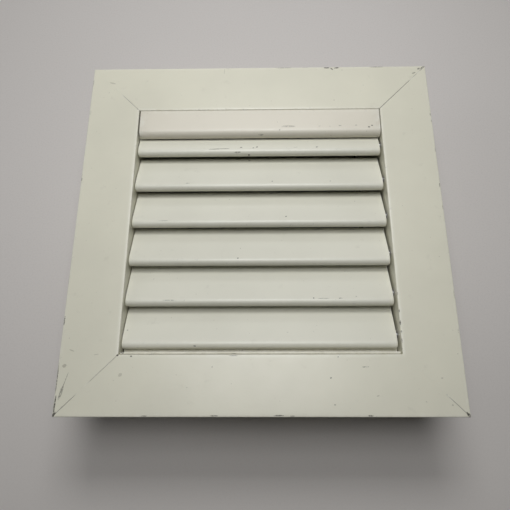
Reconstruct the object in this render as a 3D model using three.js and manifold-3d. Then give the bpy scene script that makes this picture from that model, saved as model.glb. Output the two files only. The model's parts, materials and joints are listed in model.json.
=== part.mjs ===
// A louvred air grille for a 150 mm square duct opening.
// A mitred, flanged frame holds six blades that tilt together.
//
// Millimetres. The grille lies face up on the rear rim of its neck.
// +Z points out of the face, +Y towards the top rail and +X to the right, seen from the front.
// The origin is the centre of the rear rim.
import * as THREE from "three";
import { mergeVertices } from "three/addons/utils/BufferGeometryUtils.js";
import Module from "manifold-3d";

const wasm = await Module();
wasm.setup();

// ---------------------------------------------------------------- driving dimensions
const FACE = 200; // outside of the flange
const OPENING = 141; // clear opening inside the neck
const DEPTH = 60; // face to rear rim
const WALL = 1.5; // neck wall
const FLANGE = 1.6; // flange plate
const LIP_DEPTH = 4; // the outer lip and the cleat ribs reach this far behind the face
const RIB = 1.2; // thickness of the ribs that hold the corner cleats
const EDGE_BREAK = 0.6; // chamfer on the opening's front edge
const OUTER_BEVEL = 0.8;
const MITRE_GAP = 0.08; // each rail stops this far short of the mitre

const BLADES = 6;
const PITCH = 22; // pivot to pivot
const LOWEST_PIVOT_Y = -60.25;
const PIVOT_DEPTH = 6.6; // pivot axis behind the face
const REST_SLOPE = THREE.MathUtils.degToRad(22.5); // blade to face plane, as set at rest
const BLADE_LENGTH = 139.6;
const BLADE_SHIFT = -0.35; // the blades have slid this far along X within their end play
const NOSE_RADIUS = 2.5; // half the blade's greatest thickness
const NOSE_REACH = 5; // pivot to the centre of the nose
const TAIL_REACH = 17; // pivot to the tail's end
const TAIL_THICKNESS = 1.2;

const SPINDLE_RADIUS = 1.5;
const SPINDLE_PORT_RADIUS = 1.6;
const SPINDLE_LENGTH = 146;

const LINK_REACH = 20; // pivot to link pin
const LINK_DROP = THREE.MathUtils.degToRad(14); // the link pin lies this far below the blade's chord line
const LINK_PIN_RADIUS = 1;
const BAR_NEAR_X = 58; // the tie bar's flat side nearest the middle
const BAR_THICKNESS = 1.6;
const BAR_WIDTH = 4;
const BAR_HOLE_RADIUS = 1.15;

const STRIP_GAP = 0.25; // head strip and sill strip to the neck
const STRIP = 1.2; // thickness of their sheet
const HEAD_DROP = 12.75; // flat part of the head strip, top edge to the start of its round nose
const HEAD_NOSE_RADIUS = 3.5;
const HEAD_NOSE_END = 205; // degrees; the nose ends just above the top blade, which closes on it
const STRIP_LEG = 16; // how far the strips reach behind the face
const SILL_SETBACK = 1.2; // the sill strip's front edge behind the face
const SILL_LEDGE_DEPTH = 7.4; // the ledge that closes the gap under the lowest blade, behind the face
const SILL_LEDGE_REACH = 66.5; // the ledge's free edge below the grille's centre

const RIVET_RADIUS = 1.6;
const RIVET_HOLE_RADIUS = 1.75;
const STRIP_RIVET_X = 45;
const STRIP_RIVET_DEPTH = 11.5; // behind the face
const SPRING_RIVET_Z = 6.5; // above the rear rim
const SPRING_WIDTH = 11;
const SPRING_THICKNESS = 0.7;

// ---------------------------------------------------------------- derived places
const halfFace = FACE / 2;
const halfOpening = OPENING / 2;
const neckOutside = halfOpening + WALL;
const pivotZ = DEPTH - PIVOT_DEPTH;
const bladeNumbers = Array.from({ length: BLADES }, (_, i) => i + 1); // 1 is the top blade
const pivotY = (number) => LOWEST_PIVOT_Y + (BLADES - number) * PITCH;
const springs = [
  { height: "upper", y: (pivotY(2) + pivotY(1)) / 2 },
  { height: "lower", y: (pivotY(6) + pivotY(5)) / 2 },
];

// ---------------------------------------------------------------- materials
const paint = new THREE.MeshStandardMaterial({ color: 0xdedbcb, roughness: 0.42, metalness: 0 });
const nylon = new THREE.MeshStandardMaterial({ color: 0xe6e4da, roughness: 0.55, metalness: 0 });
const greyNylon = new THREE.MeshStandardMaterial({ color: 0x8a8983, roughness: 0.6, metalness: 0 });
const castAluminium = new THREE.MeshStandardMaterial({ color: 0xa9abad, roughness: 0.5, metalness: 1 });
const brightSteel = new THREE.MeshStandardMaterial({ color: 0xb9babb, roughness: 0.3, metalness: 1 });
const springSteel = new THREE.MeshStandardMaterial({ color: 0x9a9a9c, roughness: 0.4, metalness: 1 });

// ---------------------------------------------------------------- geometry helpers
// A closed geometry as a solid that can be cut and joined.
function solid(geometry) {
  const bare = geometry.clone().deleteAttribute("normal").deleteAttribute("uv");
  const merged = mergeVertices(bare, 1e-4);
  return new wasm.Manifold(
    new wasm.Mesh({
      numProp: 3,
      vertProperties: merged.attributes.position.array,
      triVerts: new Uint32Array(merged.index.array),
    }),
  );
}

function geometryOf(manifold) {
  const mesh = manifold.getMesh();
  const geometry = new THREE.BufferGeometry();
  geometry.setAttribute("position", new THREE.BufferAttribute(mesh.vertProperties, 3));
  geometry.setIndex(new THREE.BufferAttribute(mesh.triVerts, 1));
  geometry.computeVertexNormals();
  return geometry;
}

const shapeOf = (points) => new THREE.Shape(points.map(([a, b]) => new THREE.Vector2(a, b)));

// Points on an arc, ends included, angles in degrees.
function arc(centreA, centreB, radius, fromDegrees, toDegrees, steps) {
  return Array.from({ length: steps + 1 }, (_, i) => {
    const angle = THREE.MathUtils.degToRad(fromDegrees + ((toDegrees - fromDegrees) * i) / steps);
    return [centreA + radius * Math.cos(angle), centreB + radius * Math.sin(angle)];
  });
}

// Extrudes a (Y, Z) outline along X.
const alongX = new THREE.Matrix4().makeBasis(
  new THREE.Vector3(0, 1, 0),
  new THREE.Vector3(0, 0, 1),
  new THREE.Vector3(1, 0, 0),
);
function extrudeAlongX(shape, fromX, toX) {
  return new THREE.ExtrudeGeometry(shape, { depth: toX - fromX, bevelEnabled: false, curveSegments: 6 })
    .translate(0, 0, fromX)
    .applyMatrix4(alongX);
}

// A cylinder along Y from one y to another, centred on x, z.
function cylinderAlongY(radius, x, z, fromY, toY, sides = 16) {
  return new THREE.CylinderGeometry(radius, radius, toY - fromY, sides).translate(x, (fromY + toY) / 2, z);
}

function circleHole(a, b, radius) {
  const hole = new THREE.Path();
  hole.absarc(a, b, radius, 0, Math.PI * 2, true);
  return hole;
}

// A sheet strip's outline: its centreline, given thickness.
function stripOutline(centreline, thickness) {
  const sides = [[], []];
  centreline.forEach(([a, b], i) => {
    const [a0, b0] = centreline[Math.max(0, i - 1)];
    const [a1, b1] = centreline[Math.min(centreline.length - 1, i + 1)];
    const length = Math.hypot(a1 - a0, b1 - b0);
    const [normalA, normalB] = [-(b1 - b0) / length, (a1 - a0) / length];
    sides[0].push([a + (normalA * thickness) / 2, b + (normalB * thickness) / 2]);
    sides[1].unshift([a - (normalA * thickness) / 2, b - (normalB * thickness) / 2]);
  });
  return [...sides[0], ...sides[1]];
}

function part(name, geometry, material) {
  const mesh = new THREE.Mesh(geometry, material);
  mesh.name = name;
  return mesh;
}

const grille = new THREE.Group();

// ---------------------------------------------------------------- frame rails
// The extrusion's section.
// The first number is the distance outwards from the grille's centre, and the second is the height.
const GROOVE_INSET = 6.3; // the channel for the corner cleats starts this far outside the opening
const GROOVE_WIDTH = 13.4;
const groove = { inner: halfOpening + GROOVE_INSET, outer: halfOpening + GROOVE_INSET + GROOVE_WIDTH };
const flangeBack = DEPTH - FLANGE;
const lipBack = DEPTH - LIP_DEPTH;
const HOOK_THICKNESS = 0.8;
const hookTop = lipBack + HOOK_THICKNESS;
const hookReach = 1.4;
const railSection = [
  [halfOpening, 0],
  [halfOpening, DEPTH - EDGE_BREAK],
  [halfOpening + EDGE_BREAK, DEPTH],
  [halfFace - OUTER_BEVEL, DEPTH],
  [halfFace, DEPTH - OUTER_BEVEL],
  [halfFace, lipBack],
  [halfFace - RIB, lipBack],
  [halfFace - RIB, flangeBack],
  [groove.outer + RIB, flangeBack],
  [groove.outer + RIB, lipBack],
  [groove.outer - hookReach, lipBack],
  [groove.outer - hookReach, hookTop],
  [groove.outer, hookTop],
  [groove.outer, flangeBack],
  [groove.inner, flangeBack],
  [groove.inner, hookTop],
  [groove.inner + hookReach, hookTop],
  [groove.inner + hookReach, lipBack],
  [groove.inner - RIB, lipBack],
  [groove.inner - RIB, flangeBack],
  [neckOutside, flangeBack],
  [neckOutside, 0],
];

// A rail with both ends mitred at 45 degrees. It lies along X, with its outer edge towards +Y.
function mitredRail() {
  const geometry = new THREE.ExtrudeGeometry(shapeOf(railSection), { depth: 1, bevelEnabled: false });
  const position = geometry.attributes.position;
  for (let i = 0; i < position.count; i++) {
    const outwards = position.getX(i);
    const height = position.getY(i);
    const end = position.getZ(i) < 0.5 ? -1 : 1;
    position.setXYZ(i, end * (outwards - MITRE_GAP), outwards, height);
  }
  return geometry;
}

// A rail with round holes through its neck wall: each hole is { x, z, radius } in the rail's own frame.
function drilledRail(holes) {
  const drills = holes.map(({ x, z, radius }) =>
    solid(cylinderAlongY(radius, x, z, halfOpening - 2, neckOutside + 2)),
  );
  return geometryOf(drills.reduce((rail, drill) => rail.subtract(drill), solid(mitredRail())));
}

const BUSH_RADIUS = 3;
const BUSH_HOLE_RADIUS = 3.15;
const stripRivetHoles = [-1, 1].map((side) => ({
  x: side * STRIP_RIVET_X,
  z: DEPTH - STRIP_RIVET_DEPTH,
  radius: RIVET_HOLE_RADIUS,
}));

// Holes in a side rail, where alongRail is +1 or -1: the rail's own X runs that way along the grille's Y.
function sideRailHoles(alongRail) {
  const hole = (y, z, radius) => ({ x: alongRail * y, z, radius });
  const bushHoles = bladeNumbers.map((n) => hole(pivotY(n), pivotZ, BUSH_HOLE_RADIUS));
  const springHoles = springs.map(({ y }) => hole(y, SPRING_RIVET_Z, RIVET_HOLE_RADIUS));
  return [...bushHoles, ...springHoles];
}

const quarterTurn = Math.PI / 2;
const rails = [
  { name: "rail_top", turn: 0, holes: stripRivetHoles },
  { name: "rail_bottom", turn: 2 * quarterTurn, holes: stripRivetHoles },
  { name: "rail_left", turn: quarterTurn, holes: sideRailHoles(1) },
  { name: "rail_right", turn: -quarterTurn, holes: sideRailHoles(-1) },
];
for (const { name, turn, holes } of rails) {
  const rail = part(name, drilledRail(holes), paint);
  rail.rotation.z = turn;
  grille.add(rail);
}

// ---------------------------------------------------------------- corner cleats
// L-shaped plates that slide into the channels of two rails and are staked there.
const CLEAT_ARM = 34;
const CLEAT_CLEARANCE = 0.15;
function cleatGeometry() {
  const inner = groove.inner + CLEAT_CLEARANCE;
  const outer = groove.outer - CLEAT_CLEARANCE;
  const end = outer - CLEAT_ARM;
  const outline = [
    [outer, outer],
    [end, outer],
    [end, inner],
    [inner, inner],
    [inner, end],
    [outer, end],
  ];
  const low = hookTop + CLEAT_CLEARANCE;
  const depth = flangeBack - CLEAT_CLEARANCE - low;
  return new THREE.ExtrudeGeometry(shapeOf(outline), { depth, bevelEnabled: false }).translate(0, 0, low);
}
["top_right", "top_left", "bottom_left", "bottom_right"].forEach((corner, i) => {
  const cleat = part(`corner_cleat_${corner}`, cleatGeometry(), castAluminium);
  cleat.rotation.z = i * quarterTurn;
  grille.add(cleat);
});

// ---------------------------------------------------------------- head strip and sill strip
const stripEdge = halfOpening - STRIP_GAP; // the strips' outer side, against the neck
const STRIP_END_GAP = 0.5; // each strip's ends to the neck
const HEAD_SHORT = 0.4; // the head strip is cut this much shorter at its left end
const stripEnd = halfOpening - STRIP_END_GAP;
const noseCentreY = stripEdge - HEAD_DROP;
const noseCentreZ = DEPTH - HEAD_NOSE_RADIUS;
const headSection = [
  [stripEdge, DEPTH],
  ...arc(noseCentreY, noseCentreZ, HEAD_NOSE_RADIUS, 90, HEAD_NOSE_END, 12),
  ...arc(noseCentreY, noseCentreZ, HEAD_NOSE_RADIUS - STRIP, HEAD_NOSE_END, 90, 9),
  [stripEdge - STRIP, DEPTH - STRIP],
  [stripEdge - STRIP, DEPTH - STRIP_LEG],
  [stripEdge, DEPTH - STRIP_LEG],
];
const ledgeTop = DEPTH - SILL_LEDGE_DEPTH;
const sillSection = [
  [-stripEdge, DEPTH - STRIP_LEG],
  [-stripEdge + STRIP, DEPTH - STRIP_LEG],
  [-stripEdge + STRIP, ledgeTop - STRIP],
  [-SILL_LEDGE_REACH, ledgeTop - STRIP],
  [-SILL_LEDGE_REACH, ledgeTop],
  [-stripEdge + STRIP, ledgeTop],
  [-stripEdge + STRIP, DEPTH - SILL_SETBACK],
  [-stripEdge, DEPTH - SILL_SETBACK],
];

// A strip with its rivet holes, where side is +1 for the head strip and -1 for the sill strip.
// Its left end is cut short by the last value.
function drilledStrip(section, side, short) {
  const inside = stripEdge - 2 * STRIP;
  const [fromY, toY] = side > 0 ? [inside, halfOpening] : [-halfOpening, -inside];
  const drills = stripRivetHoles.map(({ x, z, radius }) => solid(cylinderAlongY(radius, x, z, fromY, toY)));
  const strip = solid(extrudeAlongX(shapeOf(section), short - stripEnd, stripEnd));
  return geometryOf(drills.reduce((rest, drill) => rest.subtract(drill), strip));
}
grille.add(part("head_strip", drilledStrip(headSection, 1, HEAD_SHORT), paint));
grille.add(part("sill_strip", drilledStrip(sillSection, -1, 0), paint));

// ---------------------------------------------------------------- rivets
// A rivet along Y: its dome stands on the outside of the neck, and its formed tail is inside the grip.
const RIVET_DOME_RADIUS = 3.2;
const RIVET_DOME_HEIGHT = 1.2;
const RIVET_TAIL_RADIUS = 2.5;
const RIVET_TAIL_HEIGHT = 1;
const RIVET_CLEARANCE = 0.1;
function rivetGeometry(grip) {
  const dome = RIVET_CLEARANCE;
  const tail = -grip - RIVET_CLEARANCE;
  const shoulder = [RIVET_DOME_RADIUS * 0.85, dome + RIVET_DOME_HEIGHT * 0.6];
  const profile = [
    [0, tail - RIVET_TAIL_HEIGHT],
    [RIVET_TAIL_RADIUS, tail - RIVET_TAIL_HEIGHT],
    [RIVET_TAIL_RADIUS, tail],
    [RIVET_RADIUS, tail],
    [RIVET_RADIUS, dome],
    [RIVET_DOME_RADIUS, dome],
    shoulder,
    [0, dome + RIVET_DOME_HEIGHT],
  ];
  return new THREE.LatheGeometry(
    profile.map(([r, y]) => new THREE.Vector2(r, y)),
    14,
  );
}
const stripGrip = neckOutside - (stripEdge - STRIP);
const hands = [
  ["left", -1],
  ["right", 1],
];
for (const [strip, side, turn] of [
  ["head", 1, 0],
  ["sill", -1, Math.PI],
]) {
  for (const [hand, direction] of hands) {
    const rivet = part(`${strip}_rivet_${hand}`, rivetGeometry(stripGrip), castAluminium);
    rivet.position.set(direction * STRIP_RIVET_X, side * neckOutside, DEPTH - STRIP_RIVET_DEPTH);
    rivet.rotation.z = turn;
    grille.add(rivet);
  }
}

// ---------------------------------------------------------------- spring clips
// A bowed leaf riveted near the rear rim.
// It flattens as the neck goes into its hole and then grips the hole's side.
const springFoot = WALL + SPRING_THICKNESS / 2 + RIVET_CLEARANCE; // centreline from the opening's side
// The leaf's centreline, from its foot to its free end: distance outwards, then height.
const springCentreline = [
  [springFoot, 2.2],
  [springFoot, 11],
  [springFoot + 0.8, 14],
  [springFoot + 2.4, 18],
  [springFoot + 4.4, 22.5],
  [springFoot + 5.7, 26],
  [springFoot + 6, 28],
  [springFoot + 5.5, 30],
  [springFoot + 4.2, 32.5],
];
const springSection = stripOutline(springCentreline, SPRING_THICKNESS);

// In the frame of the neck wall: X outwards from the opening's side, Z height, centred on Y = 0.
function springGeometry() {
  const leaf = new THREE.ExtrudeGeometry(shapeOf(springSection), { depth: SPRING_WIDTH, bevelEnabled: false })
    .translate(0, 0, -SPRING_WIDTH / 2)
    .rotateX(quarterTurn);
  const drillLength = 8;
  const drill = new THREE.CylinderGeometry(RIVET_HOLE_RADIUS, RIVET_HOLE_RADIUS, drillLength, 16)
    .rotateZ(quarterTurn)
    .translate(springFoot, 0, SPRING_RIVET_Z);
  return geometryOf(solid(leaf).subtract(solid(drill)));
}
const springGrip = WALL + SPRING_THICKNESS + RIVET_CLEARANCE;
for (const [hand, direction] of hands) {
  for (const { height, y } of springs) {
    const station = new THREE.Group();
    station.position.set(direction * halfOpening, y, 0);
    station.rotation.z = direction > 0 ? 0 : Math.PI;
    const rivet = part(`spring_rivet_${hand}_${height}`, rivetGeometry(springGrip), castAluminium);
    rivet.position.set(springGrip, 0, SPRING_RIVET_Z);
    rivet.rotation.z = -quarterTurn;
    station.add(part(`spring_clip_${hand}_${height}`, springGeometry(), springSteel), rivet);
    grille.add(station);
  }
}

// ---------------------------------------------------------------- bushes
// A blind nylon bush, pushed through the neck wall from outside.
// Its own Y points outwards from the neck's outer side.
const BUSH_HEAD_RADIUS = 4.4;
const BUSH_HEAD = 1.9;
const BUSH_BORE_RADIUS = 1.68;
const BUSH_BORE_END = 1.3;
const BUSH_CHAMFER_RADIUS = 0.6; // the chamfer round the head, across it
const BUSH_CHAMFER_HEIGHT = 0.4; // and along the bush
const BUSH_SEAT = 0.1; // the head to the neck's outer side
function bushGeometry() {
  const profile = [
    [0, BUSH_BORE_END],
    [BUSH_BORE_RADIUS, BUSH_BORE_END],
    [BUSH_BORE_RADIUS, -WALL],
    [BUSH_RADIUS, -WALL],
    [BUSH_RADIUS, BUSH_SEAT],
    [BUSH_HEAD_RADIUS, BUSH_SEAT],
    [BUSH_HEAD_RADIUS, BUSH_HEAD - BUSH_CHAMFER_HEIGHT],
    [BUSH_HEAD_RADIUS - BUSH_CHAMFER_RADIUS, BUSH_HEAD],
    [0, BUSH_HEAD],
  ];
  return new THREE.LatheGeometry(
    profile.map(([r, y]) => new THREE.Vector2(r, y)),
    16,
  );
}
for (const number of bladeNumbers) {
  for (const [hand, direction] of hands) {
    const bush = part(`bush_${number}_${hand}`, bushGeometry(), nylon);
    bush.position.set(direction * neckOutside, pivotY(number), pivotZ);
    bush.rotation.z = -direction * quarterTurn;
    grille.add(bush);
  }
}

// ---------------------------------------------------------------- blades, spindles and link clips
// A blade's own frame has its pivot at the origin.
// Its +Y runs along the chord to the tail, and +Z points out of its front side.
const TAIL_UNDERSIDE = NOSE_RADIUS - TAIL_THICKNESS;
const BELLY_END = 1; // the blade keeps its full thickness to here, then tapers to the tail
const tailRound = TAIL_THICKNESS / 2;
const bellySlope = (TAIL_UNDERSIDE + NOSE_RADIUS) / (TAIL_REACH - tailRound - BELLY_END);
const bellyAt = (y) => -NOSE_RADIUS + (y - BELLY_END) * bellySlope;
// The T-shaped rib under the blade that the link clip slides on to.
const ribY = 11;
const ribHalfStem = 0.4;
const ribHalfHead = 1;
const ribHead = 0.7;
const RIB_HEIGHT = 2.4;
const ribBottom = bellyAt(ribY) - RIB_HEIGHT;
const ribOutline = [
  [ribY - ribHalfStem, bellyAt(ribY - ribHalfStem)],
  [ribY - ribHalfStem, ribBottom + ribHead],
  [ribY - ribHalfHead, ribBottom + ribHead],
  [ribY - ribHalfHead, ribBottom],
  [ribY + ribHalfHead, ribBottom],
  [ribY + ribHalfHead, ribBottom + ribHead],
  [ribY + ribHalfStem, ribBottom + ribHead],
  [ribY + ribHalfStem, bellyAt(ribY + ribHalfStem)],
];
const bladeOutline = [
  ...arc(-NOSE_REACH, 0, NOSE_RADIUS, 90, 270, 12),
  [BELLY_END, -NOSE_RADIUS],
  ...ribOutline,
  ...arc(TAIL_REACH - tailRound, NOSE_RADIUS - tailRound, tailRound, -90, 90, 4),
];
function bladeGeometry() {
  const shape = shapeOf(bladeOutline);
  shape.holes.push(circleHole(0, 0, SPINDLE_PORT_RADIUS));
  return new THREE.ExtrudeGeometry(shape, { depth: BLADE_LENGTH, bevelEnabled: false, curveSegments: 8 })
    .translate(0, 0, BLADE_SHIFT - BLADE_LENGTH / 2)
    .applyMatrix4(alongX);
}

function spindleGeometry() {
  return new THREE.CylinderGeometry(SPINDLE_RADIUS, SPINDLE_RADIUS, SPINDLE_LENGTH, 16).rotateZ(quarterTurn);
}

// A nylon clip that grips the blade's rib and carries the pin for the tie bar behind the tail.
const linkPinY = LINK_REACH * Math.cos(LINK_DROP);
const linkPinZ = -LINK_REACH * Math.sin(LINK_DROP);
const LINK_CLIP_WIDTH = 7;
const LINK_BOSS_RADIUS = 2.2;
const RIB_CLEARANCE = 0.2;
const HOOK_TOP = -0.9; // top of the clip's front hook
const BACK_HOOK_RISE = 0.4; // the back hook stands this much higher
const CLIP_BACK_Y = 14.5; // where the clip's back begins, clear of the blade's tail
const CLIP_BACK_TOP = -0.15;
const CLIP_FRONT_Y = 8.8;
const CLIP_BOTTOM = -3.7;
const slot = {
  left: ribY - ribHalfHead - RIB_CLEARANCE,
  right: ribY + ribHalfHead + RIB_CLEARANCE,
  mouthLeft: ribY - ribHalfStem - RIB_CLEARANCE,
  mouthRight: ribY + ribHalfStem + RIB_CLEARANCE,
  low: ribBottom - RIB_CLEARANCE,
  high: ribBottom + ribHead + RIB_CLEARANCE,
};
const linkOutline = [
  [slot.mouthLeft, HOOK_TOP],
  [CLIP_FRONT_Y, HOOK_TOP],
  [CLIP_FRONT_Y, CLIP_BOTTOM],
  ...arc(linkPinY, linkPinZ, LINK_BOSS_RADIUS, -100, 82, 8),
  [CLIP_BACK_Y, CLIP_BACK_TOP],
  [slot.mouthRight, HOOK_TOP + BACK_HOOK_RISE],
  [slot.mouthRight, slot.high],
  [slot.right, slot.high],
  [slot.right, slot.low],
  [slot.left, slot.low],
  [slot.left, slot.high],
  [slot.mouthLeft, slot.high],
];
const BAR_SIDE_GAP = 0.3;
const linkClipEnd = BAR_NEAR_X - BAR_SIDE_GAP;
const PIN_HEAD_RADIUS = 1.9;
const PIN_HEAD_THICKNESS = 0.9;
function linkClipGeometry() {
  const pinTo = BAR_NEAR_X + BAR_THICKNESS + BAR_SIDE_GAP;
  const body = solid(extrudeAlongX(shapeOf(linkOutline), linkClipEnd - LINK_CLIP_WIDTH, linkClipEnd));
  const round = (radius, fromX, toX) =>
    solid(
      new THREE.CylinderGeometry(radius, radius, toX - fromX, 14)
        .rotateZ(quarterTurn)
        .translate((fromX + toX) / 2, linkPinY, linkPinZ),
    );
  const pin = round(LINK_PIN_RADIUS, linkClipEnd - 1, pinTo + PIN_HEAD_THICKNESS / 2);
  const head = round(PIN_HEAD_RADIUS, pinTo, pinTo + PIN_HEAD_THICKNESS);
  return geometryOf(body.add(pin).add(head));
}

for (const number of bladeNumbers) {
  const louvre = new THREE.Group();
  louvre.position.set(0, pivotY(number), pivotZ);
  louvre.rotation.x = -REST_SLOPE;
  louvre.add(
    part(`blade_${number}`, bladeGeometry(), paint),
    part(`spindle_${number}`, spindleGeometry(), brightSteel),
    part(`link_clip_${number}`, linkClipGeometry(), greyNylon),
  );
  grille.add(louvre);
}

// ---------------------------------------------------------------- tie bar
// It joins the six link pins and keeps every blade at the same slope.
function tieBarGeometry() {
  const reach = (BLADES - 1) * PITCH;
  const round = BAR_WIDTH / 2;
  const outline = [...arc(0, 0, round, 90, 270, 8), ...arc(reach, 0, round, -90, 90, 8)];
  const bar = shapeOf(outline);
  for (const number of bladeNumbers) {
    bar.holes.push(circleHole((BLADES - number) * PITCH, 0, BAR_HOLE_RADIUS));
  }
  return extrudeAlongX(bar, 0, BAR_THICKNESS);
}
const linkAngle = REST_SLOPE + LINK_DROP;
const tieBar = part("tie_bar", tieBarGeometry(), greyNylon);
tieBar.position.set(
  BAR_NEAR_X,
  pivotY(BLADES) + LINK_REACH * Math.cos(linkAngle),
  pivotZ - LINK_REACH * Math.sin(linkAngle),
);
grille.add(tieBar);

export default grille;
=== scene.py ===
"""A louvred air grille lying face up on a pale floor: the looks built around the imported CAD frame."""

import json
import math

import bmesh
import bpy
from mathutils import Matrix, Vector


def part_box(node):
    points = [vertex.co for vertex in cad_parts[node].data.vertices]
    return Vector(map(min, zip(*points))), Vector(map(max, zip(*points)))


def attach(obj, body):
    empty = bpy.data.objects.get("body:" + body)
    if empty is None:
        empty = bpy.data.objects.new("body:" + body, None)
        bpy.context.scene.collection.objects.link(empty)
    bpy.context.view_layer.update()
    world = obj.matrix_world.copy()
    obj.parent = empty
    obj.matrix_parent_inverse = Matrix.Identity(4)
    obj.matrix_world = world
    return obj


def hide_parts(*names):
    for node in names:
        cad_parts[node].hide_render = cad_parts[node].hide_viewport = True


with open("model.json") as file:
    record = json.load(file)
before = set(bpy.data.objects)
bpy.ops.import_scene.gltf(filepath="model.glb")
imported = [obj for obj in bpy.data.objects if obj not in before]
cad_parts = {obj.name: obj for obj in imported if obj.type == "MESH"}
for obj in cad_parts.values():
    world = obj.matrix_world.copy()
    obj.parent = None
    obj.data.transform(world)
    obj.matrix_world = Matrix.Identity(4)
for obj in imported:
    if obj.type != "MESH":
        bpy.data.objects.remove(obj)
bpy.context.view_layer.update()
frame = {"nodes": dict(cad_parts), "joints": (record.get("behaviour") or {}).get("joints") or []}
MM = 0.001

# ---------------------------------------------------------------- places, all read from the frame
rail_low, rail_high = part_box("rail_top")
FACE_Z = rail_high.z
HALF_FACE = rail_high.y
HALF_OPENING = rail_low.y
PIVOT = {}
for joint in frame["joints"]:
    PIVOT[joint["name"]] = Vector(joint["pos_m"])
BLADES = sum(name.startswith("louvre_") for name in PIVOT)

# the frame extrusion's section, in mm
FLANGE = 1.6
WALL = 1.5
LIP_DEPTH = 4.0
RIB = 1.2  # thickness of the outer lip and of the ribs beside the channel
GROOVE_FROM = 6.3  # the corner cleats' channel, outwards from the opening's side
GROOVE_TO = 19.7
HOOK = 1.4  # how far the channel's hooks reach over the cleats
HOOK_THICKNESS = 0.8
EDGE_ROUND = 0.55
OUTER_ROUND = 0.45
SMALL_ROUND = 0.2
MITRE_GAP = 0.08  # each rail's end to the mitre
MITRE_ROUND = 0.10  # how far the face drops at an open mitre
FILLED_GAP = 0.01  # where paint fills the mitre

# the blade's section, in mm from its pivot
REST_SLOPE = math.radians(22.5)  # to the face plane, as set at rest
NOSE_RADIUS = 2.5
NOSE_REACH = 5.0
TAIL_REACH = 17.0
TAIL_THICKNESS = 1.2
BELLY_END = 1.0  # the blade keeps its full thickness to here, then tapers to the tail
SPINDLE_PORT_RADIUS = 1.6
BLADE_END_ROUND = 0.22
NOSE_END_ROUND = 0.8  # the nose is rounded over more than the flat at both ends

# the strips, in mm
STRIP_GAP = 0.25  # to the neck
STRIP = 1.2  # thickness of the sheet
STRIP_LEG = 16.0  # how far the strips reach behind the face
HEAD_DROP = 12.75  # flat part of the head strip, down to its round nose
HEAD_NOSE_RADIUS = 3.5
HEAD_NOSE_END = 205  # degrees
SILL_SETBACK = 1.2  # the sill strip's front edge behind the face
LEDGE_DEPTH = 7.4  # the sill ledge behind the face
LEDGE_REACH = 66.5  # from the grille's centre to its free edge

# holes and hardware, in mm
RIVET_RADIUS = 1.6
RIVET_HOLE_RADIUS = 1.75
BUSH_HOLE_RADIUS = 3.15
BUSH_BORE_RADIUS = 1.68
SEAT_GAP = 0.1  # between a head and what it seats on
SPRING_THICKNESS = 0.7

# ---------------------------------------------------------------- mesh helpers
def arc(a, b, radius, start, end, steps):
    """Points on an arc, ends included, angles in degrees."""
    points = []
    for i in range(steps + 1):
        t = math.radians(start + (end - start) * i / steps)
        points.append((a + radius * math.cos(t), b + radius * math.sin(t)))
    return points


def rounded(points, radii, steps=5):
    """A closed outline with some of its corners rounded: radii maps a corner's number to its radius."""
    out = []
    for i, p in enumerate(points):
        r = radii.get(i, 0)
        if not r:
            out.append(p)
            continue
        here = Vector(p)
        before = (Vector(points[i - 1]) - here).normalized()
        after = (Vector(points[(i + 1) % len(points)]) - here).normalized()
        half = before.angle(after) / 2
        reach = r / math.tan(half)
        centre = here + (before + after).normalized() * (r / math.sin(half))
        start = here + before * reach - centre
        end = here + after * reach - centre
        for k in range(steps + 1):
            out.append(tuple(centre + start.slerp(end, k / steps).normalized() * r))
    return out


def densify(points, longest, top=math.inf, longest_at_top=None):
    """Adds points on long straight stretches of a closed outline, closer together on stretches at the top."""
    out = []
    for i, p in enumerate(points):
        q = points[(i + 1) % len(points)]
        length = math.dist(p, q)
        at_top = min(p[1], q[1]) > top - 0.01
        count = max(1, math.ceil(length / (longest_at_top if at_top else longest)))
        for k in range(count):
            out.append((p[0] + (q[0] - p[0]) * k / count, p[1] + (q[1] - p[1]) * k / count))
    return out


def new_object(name, verts, faces):
    mesh = bpy.data.meshes.new(name)
    mesh.from_pydata(verts, [], faces)
    mesh.validate()
    bm = bmesh.new()
    bm.from_mesh(mesh)
    bmesh.ops.remove_doubles(bm, verts=bm.verts, dist=1e-7)
    bmesh.ops.recalc_face_normals(bm, faces=bm.faces)
    bm.to_mesh(mesh)
    bm.free()
    obj = bpy.data.objects.new(name, mesh)
    bpy.context.scene.collection.objects.link(obj)
    return obj


def smooth(obj, angle=35):
    """Smooth shading with sharp edges above an angle."""
    for polygon in obj.data.polygons:
        polygon.use_smooth = True
    bm = bmesh.new()
    bm.from_mesh(obj.data)
    for edge in bm.edges:
        if len(edge.link_faces) == 2 and edge.calc_face_angle(0) > math.radians(angle):
            edge.smooth = False
    bm.to_mesh(obj.data)
    bm.free()
    return obj


def lofted(name, sections):
    """A closed solid through a row of sections, each a list of the same number of 3-D points."""
    count = len(sections[0])
    verts = [point for section in sections for point in section]
    faces = []
    for s in range(len(sections) - 1):
        for i in range(count):
            j = (i + 1) % count
            faces.append((s * count + i, s * count + j, (s + 1) * count + j, (s + 1) * count + i))
    faces.append(tuple(range(count)))
    last = (len(sections) - 1) * count
    faces.append(tuple(last + i for i in reversed(range(count))))
    return new_object(name, verts, faces)


def cut(obj, cutters):
    """Cuts solids out of obj and removes them."""
    for cutter in cutters:
        modifier = obj.modifiers.new("cut", "BOOLEAN")
        modifier.operation = "DIFFERENCE"
        modifier.solver = "EXACT"
        modifier.object = cutter
    graph = bpy.context.evaluated_depsgraph_get()
    mesh = bpy.data.meshes.new_from_object(obj.evaluated_get(graph))
    obj.modifiers.clear()
    obj.data = mesh
    for cutter in cutters:
        bpy.data.objects.remove(cutter)
    return obj


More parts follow.
